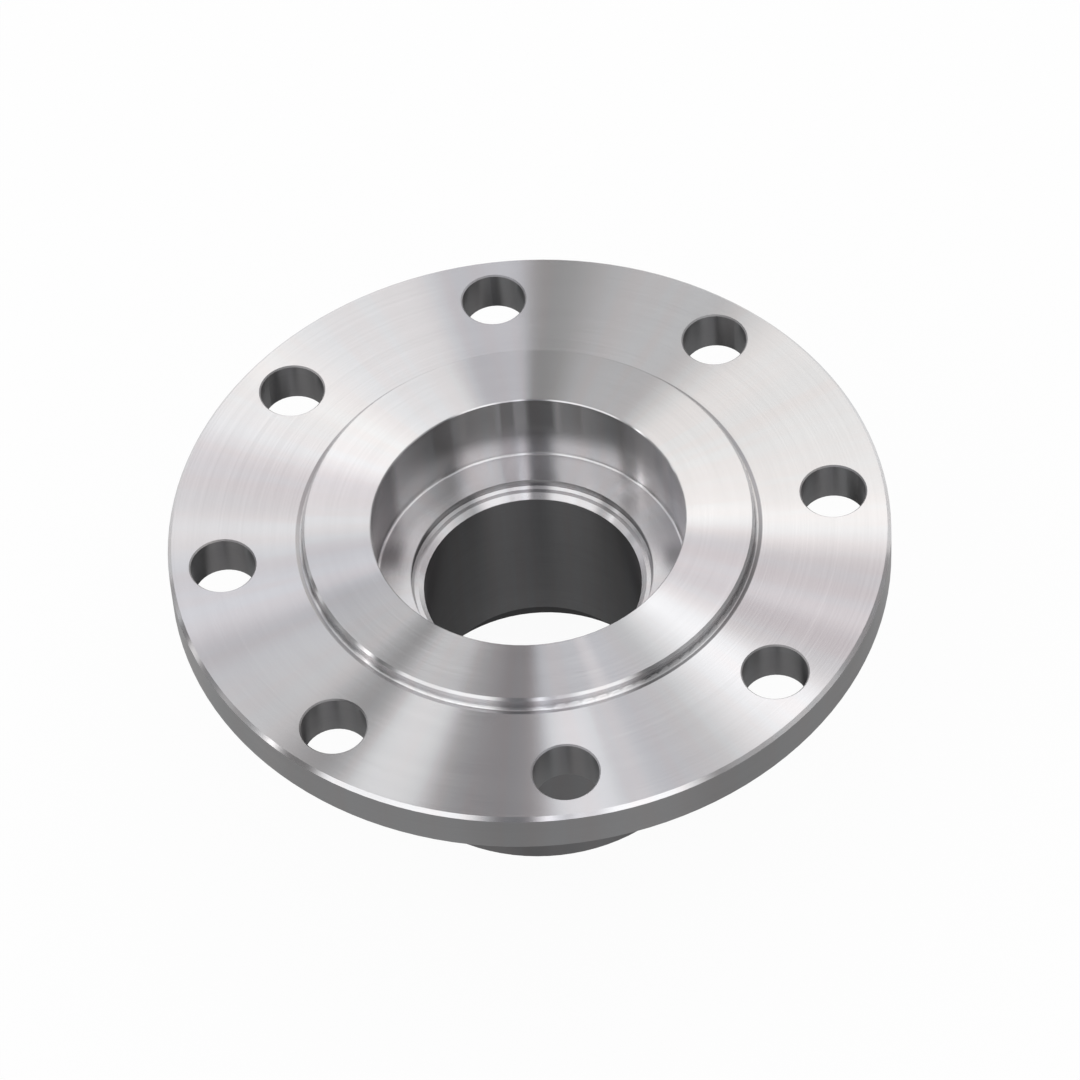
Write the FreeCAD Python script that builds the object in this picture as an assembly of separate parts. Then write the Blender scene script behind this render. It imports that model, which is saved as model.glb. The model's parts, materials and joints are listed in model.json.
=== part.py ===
import FreeCAD, Part
import os

# A turned steel pipe flange: a bolting disc with a raised joint face on top
# and a plain hub below it, with a stepped passage through the middle.
# +Z is the flange's axis and points out of the raised face. The origin is
# the centre of the hub's end face, on which the flange stands.
# All sizes are in millimetres.

# Passage, from the bore outwards and from the raised face down
bore_diameter = 61.0
bore_chamfer = 1.4
seat_flat = 1.2
seat_corner_bevel = 0.7
seat_depth = 3.3
counterbore_shelf = 9.7
counterbore_depth = 23.4
counterbore_fillet = 1.0
counterbore_chamfer = 0.3

# Hub below the disc, with a shallow socket in its end
hub_wall = 5.5
hub_length = 74.5
hub_root_fillet = 4.0
hub_end_chamfer = 1.0
socket_wall = 10.0
socket_depth = 14.0
socket_chamfer = 0.6

# Raised joint face, with a shallow relief groove round its foot
raised_face_width = 19.0
raised_height = 3.5
raised_chamfer = 0.7
foot_fillet = 1.0
relief_depth = 0.3
relief_flat = 0.1
relief_slope_width = 1.0

# Disc and its bolt holes
disc_thickness = 13.0
rim_chamfer = 1.0
bolt_land = 22.5
bolt_edge_distance = 15.0
bolt_hole_count = 8
bolt_hole_diameter = 18.0
bolt_hole_chamfer = 0.4

# Radii that follow from the widths above
bore_radius = bore_diameter / 2
seat_radius = bore_radius + bore_chamfer + seat_flat + seat_corner_bevel
counterbore_radius = seat_radius + counterbore_shelf
hub_radius = counterbore_radius + hub_wall
socket_radius = hub_radius - socket_wall
raised_radius = counterbore_radius + raised_face_width
relief_floor_radius = raised_radius + foot_fillet + relief_flat
relief_radius = relief_floor_radius + relief_slope_width
bolt_circle_radius = raised_radius + bolt_land
rim_radius = bolt_circle_radius + bolt_edge_distance
bolt_hole_radius = bolt_hole_diameter / 2

# Heights above the hub's end face
disc_underside = hub_length
disc_top = disc_underside + disc_thickness
raised_top = disc_top + raised_height
relief_floor = disc_top - relief_depth
counterbore_floor = raised_top - counterbore_depth
seat_floor = counterbore_floor - seat_depth


def revolved_section():
    """Turn the flange's half section, with sharp corners, about the axis."""
    corners = [
        (bore_radius, socket_depth),
        (socket_radius, socket_depth),
        (socket_radius, 0),
        (hub_radius, 0),
        (hub_radius, disc_underside),
        (rim_radius, disc_underside),
        (rim_radius, disc_top),
        (relief_radius, disc_top),
        (relief_floor_radius, relief_floor),
        (raised_radius, relief_floor),
        (raised_radius, raised_top),
        (counterbore_radius, raised_top),
        (counterbore_radius, counterbore_floor),
        (seat_radius, counterbore_floor),
        (seat_radius, seat_floor),
        (bore_radius, seat_floor),
    ]
    points = [FreeCAD.Vector(radius, 0, height) for radius, height in corners]
    outline = Part.makePolygon(points + points[:1])
    return Part.Face(outline).revolve(FreeCAD.Vector(), FreeCAD.Vector(0, 0, 1), 360)


def circles_at(solid, radius, height):
    """Find the circular edges of one radius that lie at one height."""
    found = []
    for edge in solid.Edges:
        if not isinstance(edge.Curve, Part.Circle):
            continue
        same_radius = abs(edge.Curve.Radius - radius) < 1e-4
        same_height = abs(edge.Curve.Center.z - height) < 1e-4
        if same_radius and same_height:
            found.append(edge)
    return found


def round_inside_corners(solid):
    """Fillet the corners that the nose of a turning tool leaves round."""
    corners = [
        (foot_fillet, raised_radius, relief_floor),
        (counterbore_fillet, counterbore_radius, counterbore_floor),
        (hub_root_fillet, hub_radius, disc_underside),
    ]
    for size, radius, height in corners:
        solid = solid.makeFillet(size, circles_at(solid, radius, height))
    return solid


def bevel_turned_edges(solid):
    """Chamfer the outside edges, the bore's mouth and the seat's corner."""
    edges = [
        (rim_chamfer, rim_radius, disc_top),
        (rim_chamfer, rim_radius, disc_underside),
        (raised_chamfer, raised_radius, raised_top),
        (counterbore_chamfer, counterbore_radius, raised_top),
        (seat_corner_bevel, seat_radius, seat_floor),
        (bore_chamfer, bore_radius, seat_floor),
        (hub_end_chamfer, hub_radius, 0),
        (socket_chamfer, socket_radius, 0),
    ]
    for size, radius, height in edges:
        solid = solid.makeChamfer(size, circles_at(solid, radius, height))
    return solid


def drill_bolt_holes(solid):
    """Drill the ring of bolt holes and chamfer their mouths on the joint side."""
    first_hole = Part.makeCylinder(
        bolt_hole_radius,
        disc_thickness,
        FreeCAD.Vector(bolt_circle_radius, 0, disc_underside),
    )
    axis_point = FreeCAD.Vector()
    axis_direction = FreeCAD.Vector(0, 0, 1)
    for index in range(bolt_hole_count):
        hole = first_hole.copy()
        hole.rotate(axis_point, axis_direction, index * 360 / bolt_hole_count)
        solid = solid.cut(hole)
    mouths = circles_at(solid, bolt_hole_radius, disc_top)
    return solid.makeChamfer(bolt_hole_chamfer, mouths)


blank = revolved_section()
turned = bevel_turned_edges(round_inside_corners(blank))
flange = drill_bolt_holes(turned)

os.makedirs("parts", exist_ok=True)
flange.exportStep("parts/flange.step")
print("valid:", flange.isValid(), "solids:", len(flange.Solids))
print("box:", flange.BoundBox)
print("volume in cubic mm:", round(flange.Volume))
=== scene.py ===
import json
import math
from types import SimpleNamespace

import bpy
from mathutils import Matrix, Vector


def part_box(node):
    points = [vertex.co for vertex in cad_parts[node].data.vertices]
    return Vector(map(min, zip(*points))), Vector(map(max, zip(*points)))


# A turned steel pipe flange on a pale floor. The flange is one solid from the
# frame, and this script gives it its finish, light and view. Sizes are in
# metres, and +Z is the flange's axis.

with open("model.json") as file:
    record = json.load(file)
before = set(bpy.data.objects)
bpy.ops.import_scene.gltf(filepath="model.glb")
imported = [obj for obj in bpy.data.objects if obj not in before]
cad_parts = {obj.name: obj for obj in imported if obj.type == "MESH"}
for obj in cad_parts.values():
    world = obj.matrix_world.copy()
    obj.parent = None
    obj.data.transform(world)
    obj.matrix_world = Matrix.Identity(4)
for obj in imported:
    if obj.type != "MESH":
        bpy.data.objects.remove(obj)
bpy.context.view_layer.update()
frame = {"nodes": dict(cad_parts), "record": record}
flange = frame["nodes"]["flange"]

# Sizes that the frame states
mounts = {mount["name"]: mount for mount in frame["record"]["mounts"]}
MM = 0.001


def mount_radius(name):
    """Radius of a round mount."""
    return mounts[name]["dims"]["r_mm"] * MM


def mount_height(name):
    """Height of a mount's middle."""
    return mounts[name]["pos_m"][2]


def mount_top(name):
    """Height of a bore's upper end."""
    return mount_height(name) + mounts[name]["dims"]["length_mm"] * MM / 2


RIM_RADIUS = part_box("flange")[1].x
BOLT_CIRCLE_RADIUS = mounts["bolt_holes"]["dims"]["pcd_mm"] * MM / 2
BOLT_HOLE_COUNT = mounts["bolt_holes"]["dims"]["count"]
BOLT_HOLE_RADIUS = mounts["bolt_holes"]["dims"]["hole_r_mm"] * MM
COUNTERBORE_RADIUS = mount_radius("counterbore")
SEAT_RADIUS = mount_radius("seal_seat")
SOCKET_RADIUS = mount_radius("end_socket")
HUB_RADIUS = mount_radius("hub_outside")
BORE_TOP = mount_top("bore")
SEAT_TOP = mount_top("seal_seat")
COUNTERBORE_TOP = mount_height("raised_face")
DISC_UNDERSIDE = mount_height("back_face")
DISC_TOP = 2 * mount_height("bolt_holes") - DISC_UNDERSIDE

# The view: the camera's place round the flange, its tilt and its framing
VIEW_ELEVATION = math.radians(50.9)
VIEW_AZIMUTH = math.radians(-3.5)
VIEW_ROLL = math.radians(-4.26)
VIEW_DISTANCE = 1.684
FOCAL_LENGTH_MM = 203.3
SENSOR_WIDTH_MM = 36.0
AIM_RIGHT_OF_AXIS = 0.0029
AIM_BEFORE_AXIS = 0.0027
AIM_BELOW_DISC_TOP = 0.0022
NEAREST_IN_VIEW = 0.01
FARTHEST_IN_VIEW = 50

# Finish of each region: colour, roughness and the lean of its grooves. The dark colours of the
# rim, hub, bore, socket and holes are painted shade on the same steel
RAISED_FINISH = ((0.625, 0.618, 0.618), 0.19, 0.35)
FOOT_FINISH = ((0.78, 0.772, 0.772), 0.22, 0.0)
DISC_FINISH = ((0.625, 0.618, 0.618), 0.19, 0.22)
SHELF_FINISH = ((0.69, 0.683, 0.683), 0.20, 0.03)
UNDERSIDE_FINISH = ((0.50, 0.495, 0.495), 0.28, 0.20)
# The rim's and the hub's dark colours are painted shade
RIM_PAINTED_SHADE_FINISH = ((0.196, 0.195, 0.194), 0.32, 0.0)
HUB_PAINTED_SHADE_FINISH = ((0.12, 0.119, 0.119), 0.36, 0.0)
WALL_FINISH = ((0.58, 0.573, 0.573), 0.23, 0.12)
SEAT_FINISH = ((0.40, 0.395, 0.395), 0.21, 0.0)
LEDGE_FINISH = ((0.63, 0.624, 0.624), 0.21, 0.24)
# The dark colours of the bore, its socket and the bolt holes are painted shade
BORE_PAINTED_SHADE_FINISH = ((0.160, 0.160, 0.160), 0.50, 0.0)
SOCKET_PAINTED_SHADE_FINISH = ((0.07, 0.07, 0.07), 0.50, 0.0)
HOLE_PAINTED_SHADE_FINISH = ((0.19, 0.19, 0.19), 0.46, 0.0)
EDGE_FINISH = ((0.64, 0.634, 0.634), 0.20, 0.0)
FILLET_FINISH = ((0.54, 0.535, 0.535), 0.27, 0.0)
RIM_EDGE_FINISH = ((0.64, 0.634, 0.634), 0.20, -0.15)
HOLE_EDGE_FINISH = ((0.34, 0.337, 0.337), 0.34, 0.0)

# What counts as a face, a wall and the slope of a chamfer or fillet between
# them, by a steepness from 0 for a level face to 1 for an upright wall
FACE_STEEPNESS = (0.25, 0.1)
WALL_STEEPNESS = (0.4, 0.8)
# How far a wall's normal points away from the axis, or towards it, and how far
# that of the disc's underside points down
WALL_FACING = (0.2, 0.6)
UNDERSIDE_FACING = (0.0, -0.5)
# The soft border of a region
BORDER = 0.2 * MM

# The fillet at the foot of the raised face, and the relief groove round it, where painted shade
# darkens the steel
FOOT_RADII = (62.7 * MM, 63.5 * MM)
RELIEF_RADII = (63.4 * MM, 64.55 * MM)
RELIEF_PAINTED_SHADE = 0.62

# The grooves that the turning tool leaves: the way that highlights are drawn out,
# in turns from the grooves' own way, and how much the lean of the flanks differs
# from groove to groove on a face
ACROSS_GROOVES = 0.25
GROOVE_SCATTER = 0.04
# Marks drawn out round the axis: how fast they change round it, their pitch
# across the grooves, the detail in them and their change of shade
FINE_MARKS = (1.0, 0.35 * MM, 2.0, 0.05)
DASH_MARKS = (4.0, 0.5 * MM, 2.0, 0.02)
BAND_MARKS = (1.5, 4.0 * MM, 2.0, 0.03)
SWEEP_MARKS = (14.0, 1.0 / 12.0, 3.0, 0.03)
DASH_ROUGHNESS = 0.1
# Cloudy marks all over: their number in a metre, detail and change of shade
MOTTLE_MARKS = (45.0, 4.0, 0.03)
# The two tints of the steel, and where a sweep's value goes from one to the other
STEEL_TINTS = ((1.01, 0.99, 1.0), (0.99, 1.0, 1.02))
TINT_BORDER = (0.35, 0.65)

# The studio, by the azimuth of the groove flank that mirrors it to the camera:
# azimuth in degrees, 0 to the right in the view and 90 away from the camera,
# then brightness and tint. The upper studio lights flanks up to one slope, and
# the lower studio those from another slope on
PLAIN = (1.0, 1.0, 1.0)
WARM = (1.01, 1.0, 0.975)
COOL = (0.985, 0.985, 1.03)
PINK = (1.025, 0.985, 1.005)
UPPER_STUDIO_REACH = 0.53
LOWER_STUDIO_START = 0.64
UPPER_STUDIO = [
    (0, 1.50, WARM),
    (39, 1.24, WARM),
    (51, 0.68, PLAIN),
    (71, 0.67, PLAIN),
    (79, 0.41, WARM),
    (86, 0.34, WARM),
    (88, 0.90, COOL),
    (102, 0.76, COOL),
    (110, 1.29, PLAIN),
    (128, 1.37, PLAIN),
    (140, 1.58, WARM),
    (153, 1.64, PLAIN),
    (160, 1.24, PINK),
    (176, 1.24, PLAIN),
    (185, 0.90, COOL),
    (196, 1.00, COOL),
    (200, 0.67, COOL),
    (221, 0.66, PLAIN),
    (230, 0.30, PLAIN),
    (235, 0.64, PLAIN),
    (247, 0.50, PLAIN),
    (254, 0.30, PINK),
    (268, 0.29, PINK),
    (270.5, 0.48, COOL),
    (280, 0.50, COOL),
    (291, 0.73, COOL),
    (301, 0.84, PLAIN),
    (315, 1.66, PLAIN),
    (321, 1.55, PLAIN),
    (330, 1.20, PINK),
    (347, 1.06, PINK),
    (356, 1.58, WARM),
]
LOWER_STUDIO = [
    (0, 0.20, PLAIN),
    (25, 0.35, PLAIN),
    (50, 0.85, PLAIN),
    (140, 0.85, PLAIN),
    (165, 0.25, PLAIN),
    (185, 0.25, PLAIN),
    (192, 0.60, PLAIN),
    (230, 0.60, PLAIN),
    (233, 1.45, PLAIN),
    (257, 1.35, PLAIN),
    (260.5, 0.32, COOL),
    (267, 0.26, COOL),
    (270, 1.60, COOL),
    (273, 0.80, COOL),
    (277, 0.90, COOL),
    (280, 1.60, PLAIN),
    (291, 1.50, PLAIN),
    (297, 0.26, PLAIN),
    (308, 0.26, PLAIN),
    (320, 0.38, PLAIN),
    (335, 0.26, PLAIN),
]

# Small panels, and gaps with a negative brightness, that only flanks between
# two slopes mirror: azimuth of the middle, half width, brightness and slopes
SMALL_PANELS = [
    (16, 15, -0.15, 0.0, 0.29),
    (60, 8, 0.10, 0.0, 0.29),
    (125, 16, -0.16, 0.0, 0.29),
    (157, 15, -0.38, 0.0, 0.29),
    (191, 5, 0.14, 0.0, 0.29),
    (212, 9, 0.28, 0.0, 0.29),
    (242, 6.5, 0.84, 0.0, 0.29),
    (276, 6, 1.06, 0.0, 0.29),
    (328, 6, -0.66, 0.0, 0.29),
    (344, 6, -0.32, 0.0, 0.29),
    (285.5, 2, 0.35, 0.0, 0.50),
    (233, 25, 0.50, 0.56, 0.74),
    (250, 6, 0.40, 0.56, 0.72),
    (206, 16, 0.16, 0.54, 0.68),
    (225, 4, 0.35, 0.54, 0.68),
    (262, 4, 0.30, 0.54, 0.72),
    (272, 4, 0.90, 0.54, 0.72),
    (286, 12, 0.40, 0.56, 0.74),
    (15, 25, 0.90, 0.66, 0.88),
    (165, 20, 0.70, 0.66, 0.88),
    (312, 13, 0.34, 0.66, 0.88),
    (312, 4, 0.40, 0.88, 1.05),
    (206, 12, -0.25, 0.66, 1.05),
    (200, 2, 0.80, 0.66, 1.05),
    (222, 0.8, 2.10, 0.66, 1.05),
    (221, 3, 2.00, 1.05, 1.60),
    (238, 8, -0.45, 1.08, 1.60),
    (290, 12, -0.35, 1.08, 1.60),
    (228, 3, -0.40, 0.66, 1.05),
    (264, 3, -0.12, 0.66, 1.05),
    (229.5, 2, 0.60, 1.05, 1.40),
]
# How soft the panels' borders are, in degrees of azimuth and in slope
SMALL_PANEL_SOFT_DEGREES = 1.0
SMALL_PANEL_SOFT_SLOPE = 0.03

# Painted reflections on the turned surfaces: streaks of painted highlight and painted shade, by
# the azimuth of the middle in the view, with half width and change of shade
WALL_PAINTED_REFLECTIONS = [
    (41, 8, 0.25),
    (71, 4, -0.20),
    (82.5, 5, -0.50),
    (95, 2.5, -0.35),
    (105, 6, -0.18),
    (121, 4, -0.15),
    (138, 8, 0.10),
]
WHOLE_WALL_PAINTED_REFLECTIONS = [(16, 7, -0.12), (162, 15, -0.50)]
SHELF_PAINTED_REFLECTIONS = [
    (3, 6, -0.42),
    (33, 6, 0.20),
    (44, 3.5, 0.45),
    (124, 10, -0.08),
    (147, 12, -0.18),
    (166, 6, -0.46),
]
# Painted shade on the seat's wall and corner, and painted highlight and shade round the foot
SEAT_PAINTED_SHADE = [(175, 42, -0.50), (358, 42, -0.45)]
FOOT_PAINTED_REFLECTIONS = [(245, 12, 0.06), (280, 10, 0.08), (300, 8, -0.12), (337, 16, -0.34)]
# Painted shade on the slopes of chamfers and fillets out on the disc
EDGE_PAINTED_SHADE = [
    (195.5, 2, -0.40),
    (206, 4, -0.28),
    (216.5, 4, -0.25),
    (228, 4, -0.50),
    (264, 2.5, -0.15),
    (272, 1.5, -0.20),
]
# Painted shade on the bore and on the rim's side
BORE_PAINTED_SHADE = [(158, 26, -0.38), (12, 22, -0.22)]
RIM_PAINTED_SHADE = [(335, 12, -0.15)]
# How far below the raised face the wall's shorter painted reflections start to fade and end, the
# radii where the shelf's painted reflections start and are full, and the radii between which the
# seat's wall and its bevelled corner lie, which take the seat's painted shade
WALL_PAINTED_REFLECTION_REACH = (9 * MM, 17 * MM)
SHELF_PAINTED_REFLECTION_RADII = (35.5 * MM, 39.5 * MM)
SEAT_PAINTED_SHADE_RADII = (33.1 * MM, 34.0 * MM)
# The softness of a painted streak's sides, as a share of its half width
WALL_PAINTED_REFLECTION_SOFTNESS = 0.3
EDGE_PAINTED_SHADE_SOFTNESS = 0.7
PAINTED_STREAK_SOFTNESS = 0.9

# The floor: its radius, its number of sides, its colour and how far it glows
# white to the view
FLOOR_RADIUS = 6.0
FLOOR_SIDES = 64
FLOOR_COLOUR = (0.9, 0.9, 0.9)
FLOOR_GLOW = 0.95
WHITE = (1.0, 1.0, 1.0)

# Each kind of mix: its two inputs and its output
MIX_SOCKETS = {"FLOAT": (2, 3, 0), "VECTOR": (4, 5, 1), "RGBA": (6, 7, 2)}


class Graph:
    """Short calls for the nodes of one shader tree."""

    def __init__(self, tree):
        self.tree = tree
        tree.nodes.clear()

    def node(self, kind, inputs=(), **settings):
        """A new node with its settings, and its inputs by name."""
        made = self.tree.nodes.new(kind)
        for name, value in settings.items():
            setattr(made, name, value)
        for name, value in dict(inputs).items():
            self.feed(made.inputs[name], value)
        return made

    def feed(self, socket, value):
        """Link another node's output, or set a plain value."""
        if isinstance(value, bpy.types.NodeSocket):
            self.tree.links.new(value, socket)
        else:
            socket.default_value = value

    def math(self, operation, *values, clamp=False):
        made = self.node("ShaderNodeMath", operation=operation, use_clamp=clamp)
        for socket, value in zip(made.inputs, values):
            self.feed(socket, value)
        return made.outputs[0]

    def times(self, first, *others):
        product = first
        for value in others:
            product = self.math("MULTIPLY", product, value)
        return product

    def minus(self, first, second, clamp=False):
        return self.math("SUBTRACT", first, second, clamp=clamp)

    def vector(self, operation, *values):
        made = self.node("ShaderNodeVectorMath", operation=operation)
        for socket, value in zip(made.inputs, values):
            self.feed(socket, value)
        is_number = operation in ("LENGTH", "DOT_PRODUCT")
        return made.outputs["Value" if is_number else "Vector"]

    def scale(self, vector, factor):
        inputs = {"Vector": vector, "Scale": factor}
        made = self.node("ShaderNodeVectorMath", inputs, operation="SCALE")
        return made.outputs["Vector"]

    def combine(self, x, y, z):
        inputs = {"X": x, "Y": y, "Z": z}
        return self.node("ShaderNodeCombineXYZ", inputs).outputs[0]

    def separate(self, vector):
        return self.node("ShaderNodeSeparateXYZ", {"Vector": vector}).outputs

    def turn(self, x, y, start=0.0):
        """Azimuth from a starting azimuth on, as a share of a full turn."""
        azimuth = self.math("ARCTAN2", y, x)
        if start:
            azimuth = self.minus(azimuth, start)
        return self.math("FRACT", self.math("DIVIDE", azimuth, 2 * math.pi))

    def step(self, value, start, end):
        """0 at start and 1 at end, with a smooth rise between them."""
        inputs = {"Value": value, "From Min": start, "From Max": end}
        made = self.node("ShaderNodeMapRange", inputs, interpolation_type="SMOOTHSTEP")
        return made.outputs[0]

    def span(self, value, low, high, soft):
        """1 between low and high, and 0 outside them."""
        rise = self.step(value, low - soft, low + soft)
        fall = self.step(value, high - soft, high + soft)
        return self.minus(rise, fall, clamp=True)

    def sector(self, turn, azimuth, half_width, soft):
        """1 in a sector, with its sizes in degrees, and 0 outside it."""
        opposite = self.minus(turn, azimuth / 360 - 0.5)
        from_middle = self.math("ABSOLUTE", self.minus(self.math("FRACT", opposite), 0.5))
        return self.step(from_middle, (half_width + soft) / 360, (half_width - soft) / 360)

    def between(self, factor, low, high):
        """low at factor 0 and high at factor 1."""
        inputs = {"Value": factor, "To Min": low, "To Max": high}
        return self.node("ShaderNodeMapRange", inputs).outputs[0]

    def around_one(self, factor, change):
        """1 less the change at factor 0, and 1 plus the change at factor 1."""
        return self.between(factor, 1 - change, 1 + change)

    def mix(self, kind, factor, first, second, blend="MIX"):
        """first at factor 0 and second at factor 1."""
        made = self.node("ShaderNodeMix", {"Factor": factor}, data_type=kind, blend_type=blend)
        first_socket, second_socket, result = MIX_SOCKETS[kind]
        self.feed(made.inputs[first_socket], first)
        self.feed(made.inputs[second_socket], second)
        return made.outputs[result]

    def noise(self, vector, detail):
        inputs = {"Vector": vector, "Scale": 1.0, "Detail": detail, "Roughness": 0.5}
        return self.node("ShaderNodeTexNoise", inputs).outputs[0]


def opaque(colour):
    return (*colour, 1.0)


def surface_point(graph):
    """Where a point lies round the flange's axis, and how its surface faces."""
    place = graph.node("ShaderNodeTexCoord").outputs["Object"]
    x, y, height = graph.separate(place)
    flat_place = graph.combine(x, y, 0.0)
    outward = graph.vector("NORMALIZE", flat_place)
    azimuth = graph.math("ARCTAN2", y, x)

    # The nearest bolt hole's axis, and the way out from it
    pitch = 2 * math.pi / BOLT_HOLE_COUNT
    hole_azimuth = graph.math("SNAP", graph.math("ADD", azimuth, pitch / 2), pitch)
    hole_x = graph.times(graph.math("COSINE", hole_azimuth), BOLT_CIRCLE_RADIUS)
    hole_y = graph.times(graph.math("SINE", hole_azimuth), BOLT_CIRCLE_RADIUS)
    from_hole = graph.vector("SUBTRACT", flat_place, graph.combine(hole_x, hole_y, 0.0))

    # The normal, and how far it points up and outwards
    normal = graph.node("ShaderNodeNewGeometry").outputs["Normal"]
    return SimpleNamespace(
        place=place,
        flat_place=flat_place,
        view_turn=graph.turn(x, y, VIEW_AZIMUTH),
        radius=graph.vector("LENGTH", flat_place),
        height=height,
        outward=outward,
        from_hole=from_hole,
        hole_distance=graph.vector("LENGTH", from_hole),
        normal=normal,
        up=graph.separate(normal)[2],
        out=graph.vector("DOT_PRODUCT", normal, outward),
    )


def region_masks(graph, point):
    """Each region of the surface: 1 in it and 0 outside it."""
    radius, height = point.radius, point.height
    steepness = graph.minus(1.0, graph.math("ABSOLUTE", point.up))
    wall = graph.step(steepness, *WALL_STEEPNESS)
    face = graph.step(steepness, *FACE_STEEPNESS)
    slope = graph.minus(graph.minus(1.0, wall), face, clamp=True)
    little, much = WALL_FACING
    inward_wall = graph.times(wall, graph.step(point.out, -little, -much))
    outward_wall = graph.times(wall, graph.step(point.out, little, much))

    # Parts of the surface by their distance from the flange's or a hole's axis
    at_rim = graph.step(radius, RIM_RADIUS - 3 * BORDER, RIM_RADIUS - BORDER)
    at_rim_edge = graph.step(radius, RIM_RADIUS - 2 * MM, RIM_RADIUS - 1.5 * MM)
    at_counterbore = graph.span(radius, SEAT_RADIUS - MM, COUNTERBORE_RADIUS + MM, BORDER)
    at_seat = graph.span(radius, SEAT_RADIUS - MM, SEAT_RADIUS + MM, BORDER)
    at_socket = graph.step(radius, SOCKET_RADIUS - MM, SOCKET_RADIUS - BORDER)
    inside_counterbore = graph.step(radius, COUNTERBORE_RADIUS + BORDER, COUNTERBORE_RADIUS)
    inside_seat = graph.step(radius, SEAT_RADIUS + BORDER, SEAT_RADIUS)
    at_fillet = graph.span(radius, *FOOT_RADII, BORDER)
    in_hole = graph.step(
        point.hole_distance, BOLT_HOLE_RADIUS + 2 * BORDER, BOLT_HOLE_RADIUS + BORDER
    )
    near_hole = graph.step(point.hole_distance, BOLT_HOLE_RADIUS + 2 * MM, BOLT_HOLE_RADIUS + MM)

    # Parts of the surface by their height
    below_disc = graph.step(height, DISC_UNDERSIDE - BORDER, DISC_UNDERSIDE - 2 * BORDER)
    above_foot = graph.step(height, DISC_TOP - 3 * BORDER, DISC_TOP - 2 * BORDER)
    above_disc = graph.step(height, DISC_TOP + BORDER, DISC_TOP + 2 * BORDER)
    below_ledge = graph.step(height, BORE_TOP, BORE_TOP - BORDER)

    bore = graph.times(inward_wall, below_ledge)
    return SimpleNamespace(
        wall=wall,
        face=face,
        slope=slope,
        raised=above_disc,
        foot=graph.times(outward_wall, above_foot),
        foot_fillet=graph.times(slope, at_fillet),
        underside=graph.times(face, graph.step(point.up, *UNDERSIDE_FACING)),
        rim=graph.times(outward_wall, at_rim),
        rim_edge=graph.times(slope, at_rim_edge),
        hub=graph.times(outward_wall, below_disc),
        counterbore=graph.times(inward_wall, at_counterbore),
        shelf=graph.times(face, inside_counterbore),
        seat=graph.times(inward_wall, at_seat),
        ledge=graph.times(slope, inside_seat),
        bore=bore,
        socket=graph.times(bore, at_socket),
        hole=graph.times(wall, in_hole),
        hole_edge=graph.times(slope, near_hole),
    )


def finish_of_regions(graph, masks):
    """Colour, roughness and lean of the grooves, each region over the last, with painted shade
    in the dark regions' colours.
    """
    disc_colour, roughness, lean = DISC_FINISH
    colour = opaque(disc_colour)
    finishes = [
        (masks.raised, RAISED_FINISH),
        (masks.foot, FOOT_FINISH),
        (masks.shelf, SHELF_FINISH),
        (masks.underside, UNDERSIDE_FINISH),
        (masks.counterbore, WALL_FINISH),
        (masks.seat, SEAT_FINISH),
        (masks.rim, RIM_PAINTED_SHADE_FINISH),
        (masks.hub, HUB_PAINTED_SHADE_FINISH),
        (masks.slope, EDGE_FINISH),
        (masks.foot_fillet, FILLET_FINISH),
        (masks.ledge, LEDGE_FINISH),
        (masks.rim_edge, RIM_EDGE_FINISH),
        (masks.hole_edge, HOLE_EDGE_FINISH),
        (masks.bore, BORE_PAINTED_SHADE_FINISH),
        (masks.socket, SOCKET_PAINTED_SHADE_FINISH),
        (masks.hole, HOLE_PAINTED_SHADE_FINISH),
    ]
    for mask, (region_colour, region_roughness, region_lean) in finishes:
        colour = graph.mix("RGBA", mask, colour, opaque(region_colour))
        roughness = graph.mix("FLOAT", mask, roughness, region_roughness)
        lean = graph.mix("FLOAT", mask, lean, region_lean)
    return colour, roughness, lean


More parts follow.
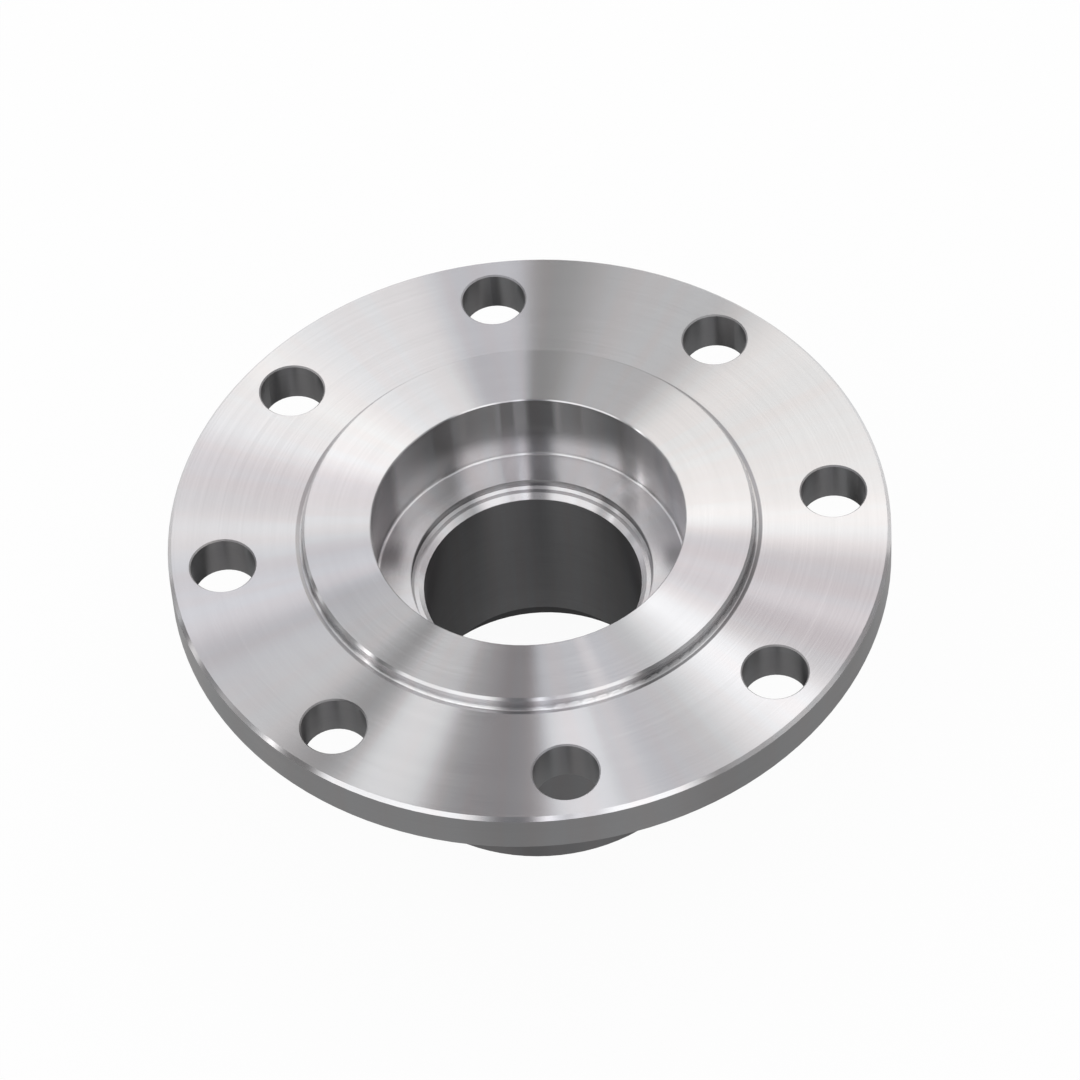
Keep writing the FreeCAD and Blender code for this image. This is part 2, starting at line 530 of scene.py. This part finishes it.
def painted_reflections_and_shade(graph, point, masks):
    """Painted reflections and painted shade in streaks across the turned surfaces, and painted
    shade in the relief groove.
    """
    radius, height = point.radius, point.height
    shallow, deep = WALL_PAINTED_REFLECTION_REACH
    not_wall = graph.minus(1.0, masks.wall)
    near_mouth = graph.step(height, COUNTERBORE_TOP - deep, COUNTERBORE_TOP - shallow)
    below_shelf = graph.step(height, SEAT_TOP + BORDER, SEAT_TOP - BORDER)
    outside_passage = graph.step(radius, COUNTERBORE_RADIUS, HUB_RADIUS)
    round_foot = graph.span(radius, FOOT_RADII[0], RELIEF_RADII[1], BORDER)

    upper_wall = graph.times(masks.counterbore, near_mouth)
    outer_shelf = graph.times(masks.shelf, graph.step(radius, *SHELF_PAINTED_REFLECTION_RADII))
    seat_wall = graph.times(graph.span(radius, *SEAT_PAINTED_SHADE_RADII, BORDER), below_shelf)
    outer_edge = graph.times(masks.slope, outside_passage)
    foot_ring = graph.times(round_foot, not_wall)
    relief = graph.times(graph.span(radius, *RELIEF_RADII, BORDER), not_wall)

    # A ring of painted shade in the relief groove
    shade = graph.math("MULTIPLY_ADD", relief, RELIEF_PAINTED_SHADE - 1, 1.0)
    painted_streaks = [
        (upper_wall, WALL_PAINTED_REFLECTIONS, WALL_PAINTED_REFLECTION_SOFTNESS),
        (masks.counterbore, WHOLE_WALL_PAINTED_REFLECTIONS, WALL_PAINTED_REFLECTION_SOFTNESS),
        (outer_shelf, SHELF_PAINTED_REFLECTIONS, PAINTED_STREAK_SOFTNESS),
        (seat_wall, SEAT_PAINTED_SHADE, PAINTED_STREAK_SOFTNESS),
        (foot_ring, FOOT_PAINTED_REFLECTIONS, PAINTED_STREAK_SOFTNESS),
        (outer_edge, EDGE_PAINTED_SHADE, EDGE_PAINTED_SHADE_SOFTNESS),
        (masks.bore, BORE_PAINTED_SHADE, PAINTED_STREAK_SOFTNESS),
        (masks.rim, RIM_PAINTED_SHADE, PAINTED_STREAK_SOFTNESS),
    ]
    for mask, painted_streak_table, softness in painted_streaks:
        for azimuth, half_width, change in painted_streak_table:
            soft = softness * half_width
            painted_streak = graph.sector(point.view_turn, azimuth, half_width, soft)
            shade = graph.math("MULTIPLY_ADD", graph.times(painted_streak, mask), change, shade)
    return shade


def marks_round_axis(graph, point, masks, marks):
    """Noise drawn out round the axis, and the change of shade that it makes."""
    along_turn, pitch, detail, change = marks
    # Marks follow the radius on faces and the height on walls
    across = graph.mix("FLOAT", masks.wall, point.radius, point.height)
    x, y, _ = graph.separate(point.outward)
    x = graph.times(x, along_turn)
    y = graph.times(y, along_turn)
    noise = graph.noise(graph.combine(x, y, graph.times(across, 1 / pitch)), detail)
    return noise, graph.around_one(noise, change)


def normal_of_grooves(graph, point, masks, lean, fine):
    """The normal of the grooves' flanks, which lean out from the axis."""
    scatter = graph.between(fine, -GROOVE_SCATTER, GROOVE_SCATTER)
    tip = graph.math("ADD", lean, graph.times(masks.face, scatter))
    # Out and up change places, so that the tip stays in the plane through the axis
    tipped_out = graph.math("ADD", point.out, graph.times(tip, point.up))
    tipped_up = graph.minus(point.up, graph.times(tip, point.out))
    tipped = graph.vector(
        "ADD", graph.scale(point.outward, tipped_out), graph.combine(0.0, 0.0, tipped_up)
    )
    return graph.mix("VECTOR", masks.hole, graph.vector("NORMALIZE", tipped), point.normal)


def direction_of_grooves(graph, point, masks):
    """The way that the grooves run: round the flange's axis or a hole's."""
    from_axis = graph.mix("VECTOR", masks.hole, point.flat_place, point.from_hole)
    x, y, _ = graph.separate(from_axis)
    return graph.vector("NORMALIZE", graph.combine(graph.times(y, -1.0), x, 0.0))


def turned_steel():
    """Steel turned on a lathe: grooves run round the axis on every face."""
    material = bpy.data.materials.new("turned_steel")
    material.use_nodes = True
    graph = Graph(material.node_tree)
    point = surface_point(graph)
    masks = region_masks(graph, point)
    colour, roughness, lean = finish_of_regions(graph, masks)

    fine, fine_shade = marks_round_axis(graph, point, masks, FINE_MARKS)
    dashes, dash_shade = marks_round_axis(graph, point, masks, DASH_MARKS)
    _, band_shade = marks_round_axis(graph, point, masks, BAND_MARKS)
    sweep, sweep_shade = marks_round_axis(graph, point, masks, SWEEP_MARKS)
    mottle_scale, mottle_detail, mottle_change = MOTTLE_MARKS
    mottle = graph.noise(graph.scale(point.place, mottle_scale), mottle_detail)
    mottle_shade = graph.around_one(mottle, mottle_change)
    # Painted reflections and painted shade, times the tool's marks and the mottle
    shade = graph.times(
        painted_reflections_and_shade(graph, point, masks),
        fine_shade,
        dash_shade,
        band_shade,
        sweep_shade,
        mottle_shade,
    )

    first_tint, second_tint = STEEL_TINTS
    tint = graph.mix(
        "RGBA", graph.step(sweep, *TINT_BORDER), opaque(first_tint), opaque(second_tint)
    )
    colour = graph.mix("RGBA", 1.0, colour, tint, "MULTIPLY")
    colour = graph.vector("MULTIPLY", colour, graph.combine(shade, shade, shade))
    roughness = graph.times(roughness, graph.around_one(dashes, DASH_ROUGHNESS))

    shader = graph.node(
        "ShaderNodeBsdfPrincipled",
        {
            "Base Color": colour,
            "Metallic": 1.0,
            "Roughness": roughness,
            "Anisotropic": 1.0,
            "Anisotropic Rotation": ACROSS_GROOVES,
            "Normal": normal_of_grooves(graph, point, masks, lean, fine),
            "Tangent": direction_of_grooves(graph, point, masks),
        },
    )
    graph.node("ShaderNodeOutputMaterial", {"Surface": shader.outputs[0]})
    return material


def studio_ramp(graph, turn, panels):
    """Colours round the studio, from the panels that stand there."""
    ramp = graph.node("ShaderNodeValToRGB", {"Fac": turn})
    stops = ramp.color_ramp.elements
    while len(stops) < len(panels):
        stops.new(0.5)
    for stop, (azimuth, brightness, tint) in zip(stops, panels):
        stop.position = azimuth / 360
        stop.color = opaque([brightness * share for share in tint])
    return ramp.outputs[0]


def studio_world():
    """A pale studio: soft panels with gaps between them."""
    world = bpy.data.worlds.new("studio")
    bpy.context.scene.world = world
    world.use_nodes = True
    graph = Graph(world.node_tree)
    direction = graph.node("ShaderNodeTexCoord").outputs["Generated"]
    turned = graph.node(
        "ShaderNodeVectorRotate",
        {"Vector": direction, "Angle": -VIEW_AZIMUTH},
        rotation_type="Z_AXIS",
    )
    # The flank that mirrors a direction into the view has its normal along
    # that direction less the view's own
    right, away, up = graph.separate(turned.outputs[0])
    away = graph.minus(away, math.cos(VIEW_ELEVATION))
    up = graph.math("ADD", up, math.sin(VIEW_ELEVATION))
    level = graph.vector("LENGTH", graph.combine(right, away, 0.0))
    flank_slope = graph.math("DIVIDE", level, up)
    turn = graph.turn(right, away)

    upper = studio_ramp(graph, turn, UPPER_STUDIO)
    lower = studio_ramp(graph, turn, LOWER_STUDIO)
    low_down = graph.step(flank_slope, UPPER_STUDIO_REACH, LOWER_STUDIO_START)
    light = graph.mix("RGBA", low_down, upper, lower)
    for azimuth, half_width, brightness, shallow, steep in SMALL_PANELS:
        in_sector = graph.sector(turn, azimuth, half_width, SMALL_PANEL_SOFT_DEGREES)
        in_slopes = graph.span(flank_slope, shallow, steep, SMALL_PANEL_SOFT_SLOPE)
        panel = graph.times(in_sector, in_slopes, brightness)
        light = graph.vector("ADD", light, graph.combine(panel, panel, panel))
    background = graph.node("ShaderNodeBackground", {"Color": light, "Strength": 1.0})
    graph.node("ShaderNodeOutputWorld", {"Surface": background.outputs[0]})


def white_floor():
    """Pale paint that takes a soft shadow and glows white to the view."""
    material = bpy.data.materials.new("white_floor")
    material.use_nodes = True
    graph = Graph(material.node_tree)
    paths = graph.node("ShaderNodeLightPath").outputs
    seen = graph.math("MAXIMUM", paths["Is Camera Ray"], paths["Is Glossy Ray"])
    seen = graph.math("MAXIMUM", seen, paths["Is Transmission Ray"])
    paint = graph.node("ShaderNodeBsdfDiffuse", {"Color": opaque(FLOOR_COLOUR)})
    glow = graph.node("ShaderNodeEmission", {"Color": opaque(WHITE), "Strength": 1.0})
    mixed = graph.node("ShaderNodeMixShader", {"Fac": graph.times(seen, FLOOR_GLOW)})
    graph.feed(mixed.inputs[1], paint.outputs[0])
    graph.feed(mixed.inputs[2], glow.outputs[0])
    graph.node("ShaderNodeOutputMaterial", {"Surface": mixed.outputs[0]})
    return material


def pale_floor():
    """A wide floor under the flange."""
    bpy.ops.mesh.primitive_circle_add(
        vertices=FLOOR_SIDES, radius=FLOOR_RADIUS, fill_type="NGON"
    )
    floor = bpy.context.object
    floor.name = "floor"
    floor.data.materials.append(white_floor())


def view_camera():
    """The camera of the photograph: from above, with a long lens and a slight roll."""
    away = Vector((-math.sin(VIEW_AZIMUTH), math.cos(VIEW_AZIMUTH), 0))
    right = Vector((math.cos(VIEW_AZIMUTH), math.sin(VIEW_AZIMUTH), 0))
    forward = away * math.cos(VIEW_ELEVATION) - Vector((0, 0, math.sin(VIEW_ELEVATION)))
    up = right.cross(forward)
    aim = right * AIM_RIGHT_OF_AXIS - away * AIM_BEFORE_AXIS
    aim.z = DISC_TOP - AIM_BELOW_DISC_TOP
    side = right * math.cos(VIEW_ROLL) + up * math.sin(VIEW_ROLL)
    top = up * math.cos(VIEW_ROLL) - right * math.sin(VIEW_ROLL)
    turn = Matrix((side, top, -forward)).transposed().to_4x4()
    lens = bpy.data.cameras.new("view")
    lens.lens = FOCAL_LENGTH_MM
    lens.sensor_width = SENSOR_WIDTH_MM
    lens.clip_start = NEAREST_IN_VIEW
    lens.clip_end = FARTHEST_IN_VIEW
    camera = bpy.data.objects.new("view", lens)
    camera.matrix_world = Matrix.Translation(aim - forward * VIEW_DISTANCE) @ turn
    bpy.context.scene.collection.objects.link(camera)
    bpy.context.scene.camera = camera


steel = turned_steel()
for slot in flange.material_slots:
    slot.material = steel
studio_world()
pale_floor()
view_camera()
bpy.context.scene.view_settings.view_transform = "Standard"
